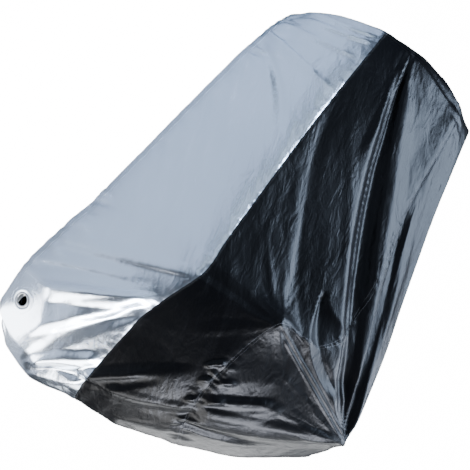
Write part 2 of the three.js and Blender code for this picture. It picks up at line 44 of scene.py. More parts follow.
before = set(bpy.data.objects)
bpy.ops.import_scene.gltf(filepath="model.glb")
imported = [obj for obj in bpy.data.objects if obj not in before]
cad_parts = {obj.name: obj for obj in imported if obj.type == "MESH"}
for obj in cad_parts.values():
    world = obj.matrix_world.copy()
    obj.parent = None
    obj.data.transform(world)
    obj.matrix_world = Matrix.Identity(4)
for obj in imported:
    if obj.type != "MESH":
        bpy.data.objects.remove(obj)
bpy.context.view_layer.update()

# The near half of the lines that shape the cover, with a row for each station from the nose to the tail: x
# along, out from the middle and z up on the ridge, the upper seam, the colour seam, the girth and the hem.
# Millimetres.
STATIONS = [
    ("nose", (462, 0, 1338), (835, 0, 888), (985, 0, 475), (1050, 0, 290), (955, 0, 62)),
    ("brow", (442, 180, 1356), (795, 170, 862), (950, 130, 472), (1008, 140, 272), (918, 135, 28)),
    ("cheek", (432, 202, 1364), (605, 315, 828), (665, 310, 470), (719, 305, 256), (735, 262, 2)),
    ("tip", (406, 200, 1356), (308, 392, 868), (356, 400, 530), (376, 362, 280), (384, 305, 20)),
    ("knee", (305, 190, 1328), (253, 345, 1035), (217, 385, 507), (208, 352, 272), (198, 310, 18)),
    ("tank", (105, 178, 1266), (120, 285, 1080), (35, 370, 480), (27, 347, 247), (17, 310, 14)),
    ("seat", (-220, 158, 1142), (-203, 228, 1002), (-235, 350, 442), (-243, 332, 235), (-252, 305, 8)),
    ("rear", (-530, 138, 1024), (-513, 196, 910), (-513, 312, 407), (-509, 300, 200), (-487, 275, 2)),
    ("corner", (-905, 100, 902), (-945, 150, 800), (-965, 190, 358), (-868, 185, 165), (-722, 172, 4)),
    ("tail", (-975, 0, 885), (-1058, 0, 665), (-1035, 0, 352), (-950, 0, 180), (-775, 0, 26)),
]

# How the far half differs, by line: x, out, z, in millimetres.
FAR_SHIFTS = {
    0: {"brow": (50, 10, -42), "cheek": (50, 0, -42), "tip": (50, 0, -42), "knee": (25, 0, -22)},
    1: {"brow": (30, 20, 12), "cheek": (20, 0, 0)},
}

# Where the frame's origin lies among those numbers.
ORIGIN = (-12.5, 0.1, -1.4)

# How far the cloth between two lines rounds out of the straight, by the line above.
ROUNDING = (0.15, 0.45, 0.8, 0.8)

# How deep the top hangs midway between its ridges, and the widths over which it starts to, in millimetres.
DECK_SAG = 22
DECK_WIDTHS = (0, 120)

# Mesh columns between one station and the next, from the nose to the tail.
COLUMNS = (30, 44, 50, 38, 30, 46, 42, 44, 22)

# Folds in side view: name, the two ends (x, z), bow (how far up the middle lies), out (the height), above and
# below (half widths), taper and close (shares of the width at the ends), rise and fall (shares of the length
# over which it grows and dies away) and soft (radius of the crest). Millimetres.
NEAR_FOLDS = [
    ("long dark trough", (420, 1352), (-975, 488), -72, -28, 70, 26, 0.12, 0.14, 0.1, 0.12, 3),
    ("long crest", (425, 1362), (-985, 486), 8, 22, 90, 60, 0.12, 0.4, 0.25, 0.62, 3),
    ("upper dark crease", (425, 1361), (-520, 908), -28, -22, 44, 13, 0.2, 0.4, 0.1, 0.3, 2.5),
    ("upper crest", (425, 1366), (-515, 912), 20, 10, 60, 30, 0.2, 0.5, 0.15, 0.4, 3),
    ("broad fold behind the handlebar", (300, 868), (-440, 400), 0, 3, 20, 60, 0.2, 0.7, 0.06, 0.45, 4),
    ("edge below the handlebar", (308, 858), (358, 520), 0, -6, 30, 50, 0.3, 0.9, 0.08, 0.05, 2),
    ("first thin fold to the handlebar", (409, 1345), (303, 874), 0, 5, 9, 9, 0.5, 0.7, 0.08, 0.05, 1.5),
    ("second thin fold to the handlebar", (424, 1328), (326, 900), 0, 4, 9, 9, 0.5, 0.7, 0.08, 0.12, 1.5),
    ("leaf fold", (322, 1222), (92, 908), -50, -26, 130, 46, 0.8, 0.12, 0.2, 0.06, 2),
    ("dark side of the broad fold", (302, 860), (-330, 420), 0, 4, 64, 190, 0.2, 0.9, 0.08, 0.3, 8),
    ("faint fold behind the handlebar", (305, 850), (65, 585), 0, 3, 14, 14, 0.5, 0.5, 0.1, 0.4, 3),
    ("long low ridge", (360, 1225), (-975, 440), -80, 32, 34, 240, 0.35, 0.6, 0.12, 0.3, 10),
    ("swell of the tail face", (-420, 655), (-985, 498), 0, 16, 230, 30, 0.5, 1, 0.3, 0.1, 10),
    ("brow crease", (456, 1345), (806, 846), 14, -17, 9, 20, 0.7, 0.7, 0.06, 0.08, 1.2),
    ("brow edge", (436, 1330), (745, 872), -6, 7, 130, 36, 0.4, 0.8, 0.08, 0.1, 3),
    ("second bright fold", (488, 1240), (727, 872), 6, 4, 60, 30, 0.5, 0.7, 0.2, 0.1, 3),
    ("bulge over the seam", (493, 1098), (712, 868), 18, 8, 40, 26, 0.45, 0.6, 0.2, 0.1, 3),
    ("hollow under the bulge", (470, 1060), (640, 880), 10, -6, 30, 60, 0.5, 0.5, 0.3, 0.2, 6),
    ("third bright fold", (516, 1054), (687, 843), 6, 11, 26, 20, 0.5, 0.8, 0.15, 0.1, 3),
    ("stitched line on the front", (700, 1125), (812, 885), 8, -5, 9, 9, 1, 0.5, 0.15, 0.15, 2),
    ("edge of the lit front", (713, 880), (918, 436), 24, 5, 12, 30, 0.4, 0.8, 0.12, 0.02, 2),
    ("dark strip of the front", (745, 878), (958, 436), 22, -12, 34, 40, 0.5, 0.8, 0.12, 0.02, 2),
    ("lit strip of the front", (812, 864), (1008, 440), 14, 8, 30, 18, 0.5, 0.8, 0.15, 0.02, 3),
    ("border of the black front", (640, 765), (960, 436), 0, 10, 120, 50, 0.4, 0.7, 0.2, 0.03, 8),
    ("bright streak of the front", (735, 645), (925, 440), 4, 8, 18, 20, 0.5, 0.8, 0.35, 0.03, 2.5),
    ("hollow above the streak", (730, 690), (955, 450), 4, -7, 22, 18, 0.5, 0.8, 0.35, 0.03, 4),
    ("fold forward of the handlebar", (314, 858), (560, 640), 4, 3, 26, 50, 0.3, 0.5, 0.08, 0.4, 4),
    ("first pucker of the front", (562, 898), (622, 842), 0, 9, 11, 11, 1, 0.5, 0.2, 0.2, 2),
    ("second pucker of the front", (538, 822), (602, 768), 0, 11, 10, 12, 1, 0.5, 0.2, 0.25, 2),
    ("third pucker of the front", (636, 908), (702, 858), 0, 9, 10, 12, 1, 0.5, 0.2, 0.2, 2),
    ("fourth pucker of the front", (612, 828), (654, 786), 0, 9, 10, 10, 1, 0.5, 0.2, 0.3, 2),
    ("fifth pucker of the front", (690, 838), (735, 798), 0, 8, 10, 10, 1, 0.5, 0.2, 0.3, 2),
    ("tail corner", (-946, 880), (-976, 352), 6, -8, 14, 14, 1, 0.5, 0.1, 0.1, 3),
    ("tail strip", (-972, 838), (-1010, 640), 0, 7, 12, 12, 1, 0.5, 0.2, 0.3, 3),
    ("upper edge of the dark face", (600, 487), (1040, 252), 18, 2, 46, 50, 0.3, 0.5, 0.15, 0.12, 3),
    ("lower edge of the dark face", (553, 490), (1045, 244), -30, -5, 60, 46, 0.3, 0.4, 0.15, 0.08, 3),
    ("lower edge of the first white band", (602, 428), (946, 160), 12, 14, 46, 84, 0.05, 0.8, 0.2, 0.15, 3),
    ("upper edge of the second white band", (590, 440), (860, 135), 18, -3, 40, 50, 0.35, 0.8, 0.15, 0.12, 3),
    ("lower edge of the second white band", (545, 465), (842, 38), 12, 18, 60, 30, 0.35, 0.8, 0.15, 0.05, 4),
    ("swell over the second white band", (545, 465), (842, 38), 12, 19, 115, 90, 0.35, 0.8, 0.2, 0.1, 6),
    ("first fold of the skirt", (388, 522), (630, 44), 0, 7, 22, 60, 0.4, 0.9, 0.2, 0.05, 5),
    ("line of the first fold", (560, 190), (636, 40), 0, -5, 9, 9, 1, 1, 0.3, 0.05, 2),
    ("second fold of the skirt", (530, 402), (716, 44), 0, 6, 14, 50, 0.4, 0.9, 0.25, 0.04, 3),
    ("front wedge of the skirt", (840, 454), (1015, 278), 0, 15, 44, 36, 0.4, 0.6, 0.12, 0.1, 3),
    ("first dark wedge", (910, 470), (1046, 263), 4, -15, 24, 40, 0.5, 0.5, 0.1, 0.1, 3),
    ("edge of the wedge", (942, 474), (1052, 288), 0, 10, 22, 22, 0.5, 0.6, 0.1, 0.1, 3),
    ("second dark wedge", (978, 482), (1052, 338), 0, -11, 24, 22, 0.7, 0.6, 0.1, 0.1, 3),
    ("hollow by the hem", (798, 118), (846, 36), 0, -14, 22, 30, 0.8, 0.5, 0.3, 0.05, 4),
    ("rear upright fold", (-594, 8), (-570, 385), 0, 9, 10, 46, 0.6, 0.8, 0.08, 0.4, 2.5),
    ("rear slanting fold", (-552, 12), (-225, 398), 38, -7, 18, 40, 0.4, 0.6, 0.1, 0.6, 3),
    ("first tail fold of the skirt", (-792, 72), (-916, 345), 10, 8, 16, 16, 0.7, 0.5, 0.1, 0.15, 3),
    ("second tail fold of the skirt", (-750, 90), (-874, 352), 10, 9, 16, 16, 0.7, 0.5, 0.1, 0.15, 3),
    ("third tail fold of the skirt", (-662, 18), (-762, 345), 8, 8, 14, 18, 0.7, 0.5, 0.1, 0.2, 3),
]
FAR_FOLDS = [
    ("long trough", (470, 1305), (-965, 520), -60, -24, 85, 50, 0.12, 0.5, 0.12, 0.1, 8),
    ("long crest", (470, 1315), (-965, 560), 0, 18, 150, 80, 0.12, 0.5, 0.3, 0.1, 10),
    ("upper crease", (470, 1312), (-640, 860), -20, -12, 50, 40, 0.15, 0.5, 0.15, 0.3, 8),
    ("edge to the handlebar", (460, 1305), (302, 872), 0, 16, 50, 50, 0.2, 0.5, 0.1, 0.05, 6),
    ("fold behind the handlebar", (300, 868), (-380, 430), 10, 20, 90, 70, 0.15, 0.5, 0.08, 0.5, 12),
    ("edge below the handlebar", (306, 868), (340, 525), 0, 18, 60, 60, 0.2, 0.5, 0.1, 0.2, 6),
    ("fold forward of the handlebar", (320, 860), (740, 470), 20, 16, 60, 70, 0.2, 0.5, 0.1, 0.2, 10),
    ("front trough", (700, 760), (930, 472), 0, -20, 60, 50, 0.4, 0.5, 0.25, 0.05, 10),
    ("front trough of the skirt", (520, 480), (1010, 250), -20, -26, 80, 50, 0.4, 0.5, 0.2, 0.2, 14),
    ("fold of the skirt", (380, 520), (600, 20), 0, 16, 70, 70, 0.4, 0.5, 0.15, 0.05, 10),
    ("rear fold", (-500, 20), (-360, 410), 0, 18, 60, 60, 0.3, 0.5, 0.1, 0.6, 10),
]

# The share of its length from which a fold closes, the share by which it runs past its ends, and how much
# fuller than straight its sides are.
FOLD_CLOSES_FROM = 0.45
FOLD_RUNS_PAST = 0.05
FOLD_FULLNESS = 0.35

# Fine folds that run out like rays from the points that hold the cloth up: name, side, centre (x, z), first
# and last direction in degrees from the front round over the top, how many, how near they start, how far they
# reach, how high and how wide, and the seed of their draws. Millimetres.
FANS = [
    ("peak to the tail", "near", (428, 1368), 199, 222, 16, 60, 1350, 2.6, 22, 31),
    ("peak to the side", "near", (425, 1366), 222, 262, 14, 30, 560, 1.8, 16, 32),
    ("peak to the front", "near", (428, 1366), 268, 312, 12, 25, 460, 2.0, 16, 33),
    ("handlebar up", "near", (306, 872), 15, 80, 7, 12, 170, 1.6, 9, 34),
    ("handlebar down", "near", (306, 866), 188, 345, 18, 12, 300, 1.1, 11, 35),
    ("tail", "near", (-972, 488), 8, 60, 7, 30, 420, 2.4, 16, 36),
    ("far peak", "far", (472, 1316), 199, 312, 44, 30, 900, 2.6, 18, 37),
    ("far handlebar up", "far", (306, 872), 20, 165, 16, 12, 190, 2.0, 9, 38),
    ("far handlebar down", "far", (306, 866), 185, 350, 20, 12, 300, 2.8, 11, 39),
    ("far tail", "far", (-972, 488), 8, 60, 7, 30, 420, 2.4, 16, 40),
]

# Taper, close, rise, fall and soft of every ray.
RAY_ENDS = (0.4, 0.6, 0.2, 0.5, 2.5)

# Places where the cloth stands out: name, side, x, z, how far out, how far it reaches and the power by which
# it falls off. Millimetres.
PUSHES = [
    ("handlebar end", "both", 308, 868, 30, 150, 2),
    ("screen", "both", 720, 1080, 12, 330, 1.2),
    ("far front corner", "far", 690, 1110, 32, 330, 1),
    ("front", "both", 930, 650, 32, 280, 1.2),
    ("front of the hem", "both", 1010, 140, 34, 190, 1.2),
    ("tail", "both", -1060, 540, 26, 240, 1.2),
    ("under the tail", "both", -840, 90, 20, 240, 1.2),
]

# Where the folds grow out from the middle plane, and the far side's pushes across it, in millimetres.
FOLDS_GROW = (20, 120)
FAR_PUSHES_GROW = (-40, 120)

# Stations to the tail, and all the way round.
HALF = len(STATIONS) - 1
ROUND = 2 * HALF


def smooth(low, high, value):
    """0 up to low, 1 from high on, and a soft step between."""
    t = np.clip((value - low) / (high - low), 0, 1)
    return t * t * (3 - 2 * t)


def closed_line(level):
    """A line all the way round. Its far half is the near half mirrored, with its own shifts."""
    rows = [(row[0], row[level + 1]) for row in STATIONS]
    shifts = FAR_SHIFTS.get(level, {})
    near = [(x, -out, z) for _, (x, out, z) in rows]
    far = [np.add(place, shifts.get(name, 0)) for name, place in reversed(rows[1:-1])]
    return np.array([*near, *far], float)


def curve(a, b, slope_a, slope_b, t):
    """The smooth way from a to b for t from 0 to 1, with these slopes at its ends."""
    t2 = t * t
    t3 = t2 * t
    start = a * (2 * t3 - 3 * t2 + 1) + slope_a * (t3 - 2 * t2 + t)
    return start + b * (3 * t2 - 2 * t3) + slope_b * (t3 - t2)


def line_at(stations, u):
    """Points of a smooth closed line through its stations, which never overshoots them."""
    before = stations - np.roll(stations, 1, axis=0)
    after = np.roll(stations, -1, axis=0) - stations
    same_way = before * after > 0
    slopes = np.where(same_way, 2 * before * after / np.where(same_way, before + after, 1), 0)
    wrapped = np.mod(u, len(stations))
    i = np.floor(wrapped).astype(int) % len(stations)
    j = (i + 1) % len(stations)
    t = (wrapped - np.floor(wrapped))[..., None]
    return curve(stations[i], stations[j], slopes[i], slopes[j], t)


LINES = [closed_line(level) for level in range(len(STATIONS[0]) - 1)]
HEM_LEVEL = len(LINES) - 1


def base_point(u, v):
    """The stretched cloth without its folds. v is 0 on the ridge, 1 and 2 on the seams, 4 on the hem."""
    u, v = np.broadcast_arrays(np.asarray(u, float), np.asarray(v, float))
    lines = [line_at(line, u) for line in LINES]
    result = np.zeros(u.shape + (3,))
    for i in range(len(LINES) - 1):
        here = (np.floor(v) == i) if i < len(LINES) - 2 else (v >= i)
        t = (v[here] - i)[:, None]
        a, b = lines[i][here], lines[i + 1][here]
        before, after = lines[max(i - 1, 0)][here], lines[min(i + 2, len(LINES) - 1)][here]
        span = np.linalg.norm(b - a, axis=1, keepdims=True)
        way_in = span + np.linalg.norm(a - before, axis=1, keepdims=True)
        way_out = span + np.linalg.norm(after - b, axis=1, keepdims=True)
        slope_in = (b - before) * span / np.maximum(way_in, 1)
        slope_out = (after - a) * span / np.maximum(way_out, 1)
        straight = a + (b - a) * t
        result[here] = straight + (curve(a, b, slope_in, slope_out, t) - straight) * ROUNDING[i]
    return result


def unit(vectors):
    """The same directions at length 1."""
    return vectors / np.maximum(np.linalg.norm(vectors, axis=-1, keepdims=True), 1e-9)


def base_normal(u, v):
    """Directions out of the stretched cloth."""
    step = 0.02
    along = base_point(u + step, v) - base_point(u - step, v)
    down = base_point(u, np.minimum(v + step, HEM_LEVEL)) - base_point(u, np.maximum(v - step, 0))
    return unit(np.cross(along, down))


def fold_height(row, x, z):
    """How far one fold lifts the cloth at places in side view."""
    _, (x0, z0), (x1, z1), bow, out, above, below, taper, close, rise, fall, soft = row
    dx, dz = x1 - x0, z1 - z0
    length = math.hypot(dx, dz)
    along = ((x - x0) * dx + (z - z0) * dz) / length**2
    side = math.copysign(1, dx)
    across = side * ((z - z0) * dx - (x - x0) * dz) / length - bow * 4 * along * (1 - along)
    widen = taper + (1 - taper) * np.sqrt(np.clip(along, 0, 1))
    widen *= 1 - (1 - close) * smooth(FOLD_CLOSES_FROM, 1.0, along)
    width = np.where(across > 0, above, below) * widen
    rounded = np.sqrt(across**2 + soft**2) - soft
    share = np.clip(1 - rounded / width, 0, 1)
    ends = smooth(-FOLD_RUNS_PAST, rise, along) * (1 - smooth(1 - fall, 1 + FOLD_RUNS_PAST, along))
    return out * ends * share * (1 + FOLD_FULLNESS - FOLD_FULLNESS * share)


def fan_folds(wanted):
    """The rays of every fan on one side, as rows like those of the folds."""
    rows = []
    for name, side, (x, z), first, last, count, near, reach, high, wide, seed in FANS:
        if side != wanted:
            continue
        rng = np.random.default_rng(seed)
        for i in range(count):
            turn = math.radians(first + (last - first) * (i + rng.uniform(0.1, 0.9)) / count)
            start = near * rng.uniform(0.6, 2.5)
            end = start + reach * rng.uniform(0.25, 1)
            ends = [(x + away * math.cos(turn), z + away * math.sin(turn)) for away in (start, end)]
            out = high * rng.uniform(0.4, 1.5) * rng.choice((-1, 1))
            above = wide * rng.uniform(0.7, 1.5)
            bow = rng.uniform(-0.02, 0.02) * (end - start)
            rows.append((name, *ends, bow, out, above, above * rng.uniform(0.6, 1.6), *RAY_ENDS))
    return rows


def relief(points):
    """Height of the folds, their rays and the pushes over the stretched cloth."""
    x, y, z = points[..., 0], points[..., 1], points[..., 2]
    height = np.zeros(x.shape)
    for rows, name, side in ((NEAR_FOLDS, "near", y < 0), (FAR_FOLDS, "far", y >= 0)):
        for row in rows + fan_folds(name):
            height[side] += fold_height(row, x[side], z[side])
    height *= smooth(*FOLDS_GROW, np.abs(y))
    for _, side, px, pz, out, reach, power in PUSHES:
        share = np.clip(1 - np.hypot(x - px, z - pz) / reach, 0, 1)
        height += out * share**power * (smooth(*FAR_PUSHES_GROW, y) if side == "far" else 1)
    return height


def column_places():
    """The u of each mesh column, all the way round."""
    near = [i + k / count for i, count in enumerate(COLUMNS) for k in range(count)]
    near.append(HALF)
    far = [ROUND - u for u in reversed(near)]
    return np.array(near + far[1:])


def eyelet_plane(node):
    """The middle of a CAD ring, and the way its axis points out of the cover."""
    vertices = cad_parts[node].data.vertices
    co = np.array([vertex.co for vertex in vertices])
    low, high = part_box(node)
    middle = np.array((low + high) / 2)
    axis = np.linalg.svd(co - co.mean(axis=0), full_matrices=False)[2][2]
    return middle, axis * math.copysign(1, axis[1] * middle[1])


# The middle of each ring and its axis. The cloth below the level EYELET_TOP turns from flat to free between
# two radii, and lies EYELET_PROUD outside the ring's middle. Metres.
EYELETS = {side: eyelet_plane(f"eyelet_ring_{side}") for side in ("near", "far")}
EYELET_FLAT = (0.092, 0.150)
EYELET_TOP = 2.05
EYELET_PROUD = 0.001

# Small gathers where thread or elastic draws the cloth in: name, level of their line, from and to which
# station, how many, depth, width, reach above and below, and the seed of their draws. Millimetres.
GATHERS = [
    ("front of the upper seam", 1, 0.1, 2.2, 30, 6.5, 9, 34, 30, 1),
    ("seam at the handlebar", 1, 2.2, 4.2, 24, 2.0, 7, 16, 14, 2),
    ("seam over the tank", 1, 4.2, 6.5, 48, 2.2, 7, 16, 14, 3),
    ("seam over the rear", 1, 6.5, 7.7, 26, 2.2, 7, 18, 16, 4),
    ("seam over the tail", 1, 7.7, 9.0, 34, 4.2, 7, 40, 34, 13),
    ("far upper seam", 1, 9.0, 17.9, 120, 5.0, 11, 36, 32, 5),
    ("near colour seam", 2, 0.0, 9.0, 150, 1.4, 7, 8, 26, 6),
    ("far colour seam", 2, 9.0, 18.0, 150, 3.0, 9, 10, 34, 7),
    ("elastic at the front", 4, 0.0, 3.2, 44, 8.0, 12, 70, 0, 8),
    ("elastic along the side", 4, 3.2, 6.8, 34, 3.2, 14, 50, 0, 9),
    ("elastic at the tail", 4, 6.8, 11.2, 70, 7.5, 13, 100, 0, 10),
    ("far elastic along the side", 4, 11.2, 14.8, 34, 3.2, 14, 50, 0, 11),
    ("far elastic at the front", 4, 14.8, 18.0, 44, 8.0, 12, 70, 0, 12),
]

# A gather ends this many of its reaches up and down, and these millimetres and widths aside. Right at its
# line it is shallower by a share, over a reach so many times shorter.
GATHER_REACHES = 3.5
GATHER_ASIDE = (60, 4)
GATHER_PINCH = (0.5, 3)


def seam_table():
    """Arc length round each line at fine stations, in millimetres."""
    u = np.linspace(0, ROUND, 100 * ROUND + 1)
    arcs = []
    for line in LINES:
        steps = np.linalg.norm(np.diff(line_at(line, u), axis=0), axis=1)
        arcs.append(np.concatenate([[0], np.cumsum(steps)]))
    return u, arcs


STATION, ARCS = seam_table()


def spans(level, u):
    """Length of the cloth from a line to the one above and to the one below, in millimetres."""
    lower = min(level + 1, HEM_LEVEL)
    above = np.linalg.norm(line_at(LINES[level], u) - line_at(LINES[level - 1], u), axis=-1)
    below = np.linalg.norm(line_at(LINES[lower], u) - line_at(LINES[level], u), axis=-1)
    return above, below


def drop_from(level, u, v):
    """How far below a line a point of the cloth is, in millimetres."""
    above, below = spans(level, u)
    return np.where(v < level, (v - level) * above, (v - level) * below)


def gathers(u, v):
    """Height of the gathers over a grid whose columns have one u each."""
    height = np.zeros(u.shape)
    for _, level, start, end, count, depth, width, above, below, seed in GATHERS:
        rng = np.random.default_rng(seed)
        arc = np.interp(np.mod(u, ROUND), STATION, ARCS[level])
        down = drop_from(level, u, v)
        first, last = np.interp([start, end], STATION, ARCS[level])
        whole = ARCS[level][-1]
        spread = (np.arange(count) + rng.uniform(0.15, 0.85, count)) / count
        for middle in first + (last - first) * spread:
            wide = width * rng.uniform(0.6, 1.6)
            deep = depth * rng.uniform(0.3, 1.3) * rng.choice((-1, -1, 1))
            reach_up = max(above * rng.uniform(0.4, 1.6), 1)
            reach_down = max(below * rng.uniform(0.4, 1.6), 1)
            slant = rng.uniform(-0.45, 0.45)
            away = np.abs(down) / np.where(down < 0, reach_up, reach_down)
            aside = np.mod(arc - middle + whole / 2, whole) - whole / 2
            near = (np.abs(aside) < GATHER_ASIDE[0] + GATHER_ASIDE[1] * wide) & (away < GATHER_REACHES)
            across = (aside[near] - slant * down[near]) / wide
            rise = away[near]
            pinch = 1 - GATHER_PINCH[0] * np.exp(-((rise * GATHER_PINCH[1]) ** 2))
            height[near] += deep * np.exp(-(across**2)) * np.exp(-(rise**2)) * pinch
    return height


# Slack ripples that lie along the pull of the cloth: name, their pull in side view in degrees, how far apart
# they are and how high, in millimetres, and the seed of their draws.
RIPPLES = [
    ("long", 30, 190, 2.6, 21),
    ("middle", 24, 95, 1.3, 22),
    ("short", 38, 48, 0.55, 23),
]

# Waves in each kind, their turn from the pull in degrees, lean with y, wander in millimetres, the level taken
# off them and what their sum is shared by.
RIPPLE_WAVES = 7
RIPPLE_TURN = 22
RIPPLE_LEAN = 0.35
RIPPLE_WANDER = 14
RIPPLE_LEVEL = 0.36
RIPPLE_SHARE = 2.2


def ripples(points):
    """Low waves across the pull, broken up along it."""
    x, y, z = points[..., 0], points[..., 1], points[..., 2]
    height = np.zeros(x.shape)
    for _, pull, apart, high, seed in RIPPLES:
        rng = np.random.default_rng(seed)
        for _ in range(RIPPLE_WAVES):
            angle = math.radians(pull + rng.uniform(-RIPPLE_TURN, RIPPLE_TURN))
            along = x * math.cos(angle) + z * math.sin(angle)
            across = -x * math.sin(angle) + z * math.cos(angle) + RIPPLE_LEAN * y
            wave = 2 * math.pi / (apart * rng.uniform(0.7, 1.5))
            bend = RIPPLE_WANDER * np.sin(along / (apart * 2.2) + rng.uniform(0, 6)) + rng.uniform(0, 900)
            swell = 0.5 + 0.5 * np.sin(along / (apart * 3.1) + across / (apart * 2.3) + rng.uniform(0, 6))
            crest = 1 - np.abs(np.sin(wave * (across + bend) / 2))
            height += high * (crest - RIPPLE_LEVEL) * swell / RIPPLE_SHARE
    return height


# Grooves where thread or elastic draws a line in: its level, then depth and half width in millimetres.
GROOVES = [(1, 3.5, 8), (2, 1.5, 5), (4, 7, 16)]

# The upper seam's groove is less deep along the near side: by how much, and where that comes and goes.
UPPER_SEAM_LESS = 2.6
UPPER_SEAM_FADES = ((2, 2.6), (6, 7.5))


def surface(u, v, raised=0.0):
    """Points of the finished cloth in metres, for arrays u and v of one shape."""
    base = base_point(u, v)
    normal = base_normal(u, v)
    height = relief(base) + gathers(u, v) + ripples(base) + raised
    fade_in, fade_out = UPPER_SEAM_FADES
    less = UPPER_SEAM_LESS * smooth(*fade_in, u) * (1 - smooth(*fade_out, u))
    for level, depth, wide in GROOVES:
        deep = depth - less if level == 1 else depth
        height -= deep * np.exp(-((drop_from(level, u, v) / wide) ** 2))
    points = (base + normal * height[..., None] - ORIGIN) / 1000
    for middle, axis in EYELETS.values():
        offset = points - middle
        up = offset @ axis - EYELET_PROUD
        away = np.linalg.norm(offset - up[..., None] * axis, axis=-1)
        flat = 1 - smooth(*EYELET_FLAT, away)
        near = (np.abs(up) < EYELET_FLAT[1]) & (v > EYELET_TOP)
        points = points - np.where(near, up * flat, 0)[..., None] * axis
    return points


def new_object(name, bm):
    """A mesh object in the scene, riding on the part's only body."""
    mesh = bpy.data.meshes.new(name)
    for face in bm.faces:
        face.smooth = True
    for edge in bm.edges:
        edge.smooth = not edge.is_boundary
    bm.to_mesh(mesh)
    bm.free()
    piece = bpy.data.objects.new(name, mesh)
    bpy.context.scene.collection.objects.link(piece)
    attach(piece, "root")
    return piece


# Metres of cloth in one level of v on the UV map, and how near points are that count as one.
UV_DROP = 0.45
SAME_POINT = 0.00002


def grid_into(bm, u, v, place):
    """Adds a grid with a column for each u and a row for each v, bent to place(u, v)."""
    columns, rows = len(u) - 1, len(v) - 1
    made = bmesh.ops.create_grid(bm, x_segments=columns, y_segments=rows, size=0.5)["verts"]
    flat = np.array([vert.co[:2] for vert in made])
    column = np.rint((flat[:, 0] + 0.5) * columns).astype(int)
    row = np.rint((0.5 - flat[:, 1]) * rows).astype(int)
    points = place(*np.meshgrid(u, v))
    for vert, point in zip(made, points[row, column]):
        vert.co = point
    faces = list({face for vert in made for face in vert.link_faces})
    bmesh.ops.reverse_faces(bm, faces=faces)
    layer = bm.loops.layers.uv.verify()
    around = np.interp(np.mod(u[column], ROUND + 1e-9), STATION, ARCS[2]) / 1000
    down = v[row] * UV_DROP
    place_of = {vert: (a, -d) for vert, a, d in zip(made, around, down)}
    for face in faces:
        for loop in face.loops:
            loop[layer].uv = place_of[loop.vert]


def cloth_between(first, last, rows):
    """The cloth from one level down to another, all the way round."""
    bm = bmesh.new()
    grid_into(bm, column_places(), np.linspace(first, last, rows + 1), surface)
    bmesh.ops.remove_doubles(bm, verts=bm.verts, dist=SAME_POINT)
    return bm


def set_inputs(tree, node, inputs):
    """Links those of a node's inputs whose value is a socket, and sets the others."""
    for label, value in inputs.items():
        if isinstance(value, bpy.types.NodeSocket):
            tree.links.new(value, node.inputs[label])
        else:
            node.inputs[label].default_value = value


def add_node(tree, kind, inputs=None, **settings):
    """A node with its settings and inputs."""
    node = tree.nodes.new(f"ShaderNode{kind}")
    for key, value in settings.items():
        setattr(node, key, value)
    set_inputs(tree, node, inputs or {})
    return node


def math_node(tree, operation, first, second=0.5):
    """The outcome of a sum on sockets or numbers."""
    return add_node(tree, "Math", {0: first, 1: second}, operation=operation).outputs[0]


def ramp_node(tree, value, start=0.0, end=1.0, low=0.0, high=1.0, kind="LINEAR"):
    """Turns a value from start to end into one from low to high."""
    inputs = {"Value": value, "From Min": start, "From Max": end, "To Min": low, "To Max": high}
    return add_node(tree, "MapRange", inputs, interpolation_type=kind).outputs[0]


def bump_node(tree, height, strength, distance, **normal):
    """Normals over a height, and over other normals if they are given."""
    inputs = {"Height": height, "Strength": strength, "Distance": distance, **normal}
    return add_node(tree, "Bump", inputs).outputs[0]


def node_group(name, inputs, outputs):
    """A shader group with a Vector input and these, its outputs, and the ends of both inside."""
    tree = bpy.data.node_groups.new(name, "ShaderNodeTree")
    tree.interface.new_socket("Vector", in_out="INPUT", socket_type="NodeSocketVector")
    for label, value in inputs.items():
        socket = tree.interface.new_socket(label, in_out="INPUT", socket_type="NodeSocketFloat")
        socket.default_value = value
    for label in outputs:
        tree.interface.new_socket(label, in_out="OUTPUT", socket_type="NodeSocketFloat")
    return tree, tree.nodes.new("NodeGroupInput").outputs, tree.nodes.new("NodeGroupOutput")


def crinkle_group():
    """Fine creases of thin coated cloth: soft cells and streaks along the pull."""
    name = "Cloth crinkle"
    if name in bpy.data.node_groups:
        return bpy.data.node_groups[name]
    tree, given, put = node_group(name, {"Scale": 18.0, "Stretch": 0.4}, ("Height", "Patches"))
    turn = add_node(tree, "Mapping", {"Vector": given["Vector"], "Rotation": (0, math.radians(28), 0)})
    squeeze = add_node(tree, "CombineXYZ", {"X": given["Stretch"], "Y": 1, "Z": 1})
    both = {0: turn.outputs[0], 1: squeeze.outputs[0]}
    scaled = add_node(tree, "VectorMath", both, operation="MULTIPLY").outputs[0]
    broad = {"Vector": scaled, "Scale": given["Scale"], "Detail": 3, "Roughness": 0.55, "Distortion": 0.6}
    finer = math_node(tree, "MULTIPLY", given["Scale"], 2.7)
    fine = {"Vector": scaled, "Scale": finer, "Detail": 2, "Distortion": 0.9}
    streaks = add_node(tree, "TexNoise", fine, noise_type="RIDGED_MULTIFRACTAL").outputs[0]
    share = math_node(tree, "MULTIPLY", streaks, 0.18)
    height = math_node(tree, "ADD", add_node(tree, "TexNoise", broad).outputs[0], share)
    patches = add_node(tree, "TexNoise", {"Vector": given["Vector"], "Scale": 3, "Detail": 2})
    set_inputs(tree, put, {"Height": height, "Patches": patches.outputs[0]})
    return tree


